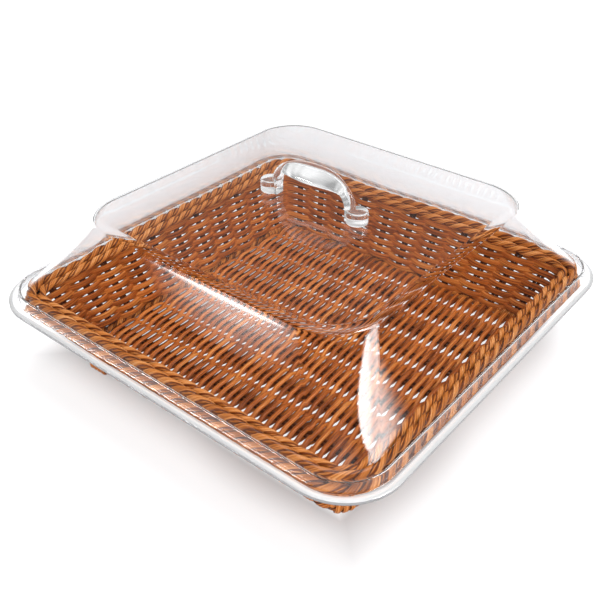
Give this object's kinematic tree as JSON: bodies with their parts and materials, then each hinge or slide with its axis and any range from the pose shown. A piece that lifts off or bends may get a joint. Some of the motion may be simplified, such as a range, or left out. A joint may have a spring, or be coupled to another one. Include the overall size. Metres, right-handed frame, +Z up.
{
  "type": "display basket with lid",
  "caption": "Square woven display basket with sloping open-weave walls, rope border and a clear lift-off cover with an arched handle.",
  "frame": {"origin": "on the table, under the middle of the basket", "axes": "+X along the handle, +Y across it, +Z up"},
  "size_m": [0.4, 0.4, 0.1826],
  "materials": {
    "weave": "brown poly rattan strand with fine lengthwise fibre lines",
    "rope": "brown poly rattan strands twisted to a rope, satin",
    "wire": "drawn steel wire",
    "cover": "clear moulded plastic sheet, polished",
    "handle": "clear moulded plastic, polished"
  },
  "bodies": {
    "basket": {"floor_weave": "weave", "lower_wale": "weave", "wall_weave": "weave", "upper_wale": "weave", "rim_rope_inner": "rope", "rim_rope_middle": "rope", "rim_rope_outer": "rope", "rim_wire": "wire", "foot_rope": "rope", "foot_wrap_1": "rope", "foot_wrap_2": "rope", "foot_wrap_3": "rope", "foot_wrap_4": "rope"},
    "lid": {"lid_cover": "cover", "lid_handle": "handle"}
  },
  "joints": [
    {"name": "lid_lift", "type": "slide", "parent": "basket", "child": "lid", "axis": [0, 0, 1], "range_m": [0, 0.12]}
  ]
}
